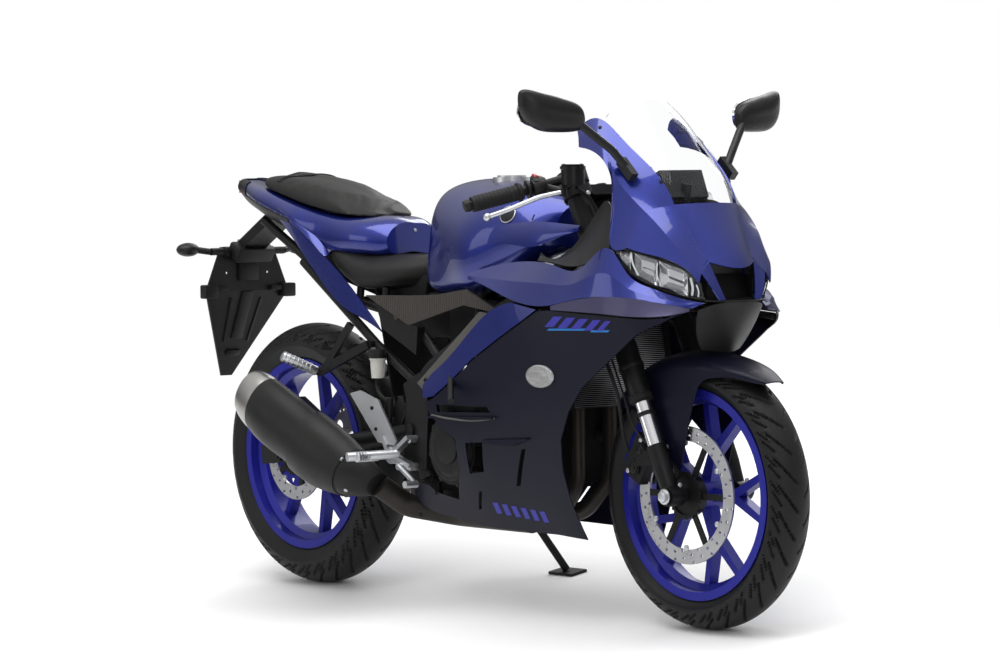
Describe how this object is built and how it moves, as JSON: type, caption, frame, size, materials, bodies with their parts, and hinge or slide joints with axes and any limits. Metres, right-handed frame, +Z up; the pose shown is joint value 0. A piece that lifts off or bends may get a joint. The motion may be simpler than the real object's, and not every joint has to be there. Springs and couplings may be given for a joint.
{
  "type": "faired sport motorcycle",
  "caption": "Full-size faired sport motorcycle parked on its side stand, with turning wheels, steering and folding stand.",
  "frame": {"origin": "on the ground below the middle of the bounding box, as parked on the side stand", "axes": "+X forward, +Y to the rider's left, +Z up; the machine leans 10 degrees to its left on the side stand"},
  "size_m": [2.0656, 0.8008, 1.2112],
  "materials": {
    "body_blue": "gloss",
    "body_navy": "satin",
    "accent_violet": "satin",
    "trim_black": "matte",
    "inner_grey": "matte",
    "frame_black": "satin",
    "wheel_blue": "satin",
    "engine_black": "satin",
    "fork_black": "satin",
    "fork_silver": "polished",
    "disc_steel": "brushed",
    "chain_steel": "satin",
    "cast_aluminium": "satin",
    "exhaust_black": "matte",
    "exhaust_tip": "brushed",
    "header_steel": "satin",
    "seat_black": "matte",
    "tyre_black": "matte",
    "grip_rubber": "matte",
    "screen_clear": "clear",
    "lens_clear": "clear",
    "lamp_chrome": "polished",
    "lamp_red": "clear",
    "lamp_smoke": "gloss",
    "mirror_black": "gloss",
    "panel_glass": "gloss"
  },
  "bodies": {
    "chassis": {"accent_panels": "accent_violet", "chain_guard": "trim_black", "drive_chain": "chain_steel", "edge_strips": "body_blue", "engine": "engine_black", "exhaust_headers": "header_steel", "foot_controls": "cast_aluminium", "frame": "frame_black", "frame_covers": "trim_black", "front_seat": "seat_black", "front_signals": "lamp_smoke", "fuel_tank": "body_blue", "headlight_lenses": "lens_clear", "headlight_units": "lamp_chrome", "inner_panels": "inner_grey", "instrument": "panel_glass", "mirrors": "mirror_black", "muffler": "exhaust_black", "muffler_tip": "exhaust_tip", "nose_cowl": "body_blue", "nose_duct": "trim_black", "pillion_brackets": "frame_black", "plate_hanger": "trim_black", "radiator": "engine_black", "rear_caliper": "fork_black", "rear_fluid_cup": "inner_grey", "rear_seat": "seat_black", "rear_signals": "mirror_black", "shock": "fork_black", "side_cowl_left": "body_navy", "side_cowl_right": "body_navy", "spar_covers": "inner_grey", "swingarm": "frame_black", "tail_bands": "body_blue", "tail_cowl": "body_blue", "tail_lamp": "lamp_red", "tank_cap": "cast_aluminium", "tank_side_panels": "body_blue", "upper_panels": "body_blue", "windscreen": "screen_clear"},
    "steering": {"fork_tubes": "fork_black", "fork_stanchions": "fork_silver", "fork_feet": "fork_black", "handlebars": "fork_black", "hand_grips": "grip_rubber", "hand_levers": "cast_aluminium", "lever_perches": "fork_black", "front_fender": "body_navy", "front_caliper": "fork_black"},
    "front_wheel": {"front_rim": "wheel_blue", "front_tyre": "tyre_black", "front_disc": "disc_steel", "front_disc_carrier": "fork_black"},
    "rear_wheel": {"rear_rim": "wheel_blue", "rear_tyre": "tyre_black", "rear_disc": "disc_steel", "rear_disc_carrier": "fork_black", "rear_sprocket": "chain_steel", "sprocket_carrier": "cast_aluminium"},
    "side_stand": {"side_stand": "frame_black"}
  },
  "joints": [
    {"name": "steering", "type": "hinge", "parent": "chassis", "child": "steering", "pos_m": [0.83516, -0.17003, 0.00111], "axis": [-0.4226, 0.1574, 0.8925], "range_deg": [-34, 34]},
    {"name": "front_wheel_spin", "type": "hinge", "parent": "steering", "child": "front_wheel", "pos_m": [0.73984, -0.11915, 0.28966], "axis": [0, 0.9848, -0.1736], "continuous": true},
    {"name": "rear_wheel_spin", "type": "hinge", "parent": "chassis", "child": "rear_wheel", "pos_m": [-0.63984, -0.11551, 0.31034], "axis": [0, 0.9848, -0.1736], "continuous": true},
    {"name": "side_stand_fold", "type": "hinge", "parent": "chassis", "child": "side_stand", "pos_m": [-0.09984, 0.00685, 0.24409], "axis": [0.013, 0.9043, 0.4268], "range_deg": [0, 88]}
  ]
}
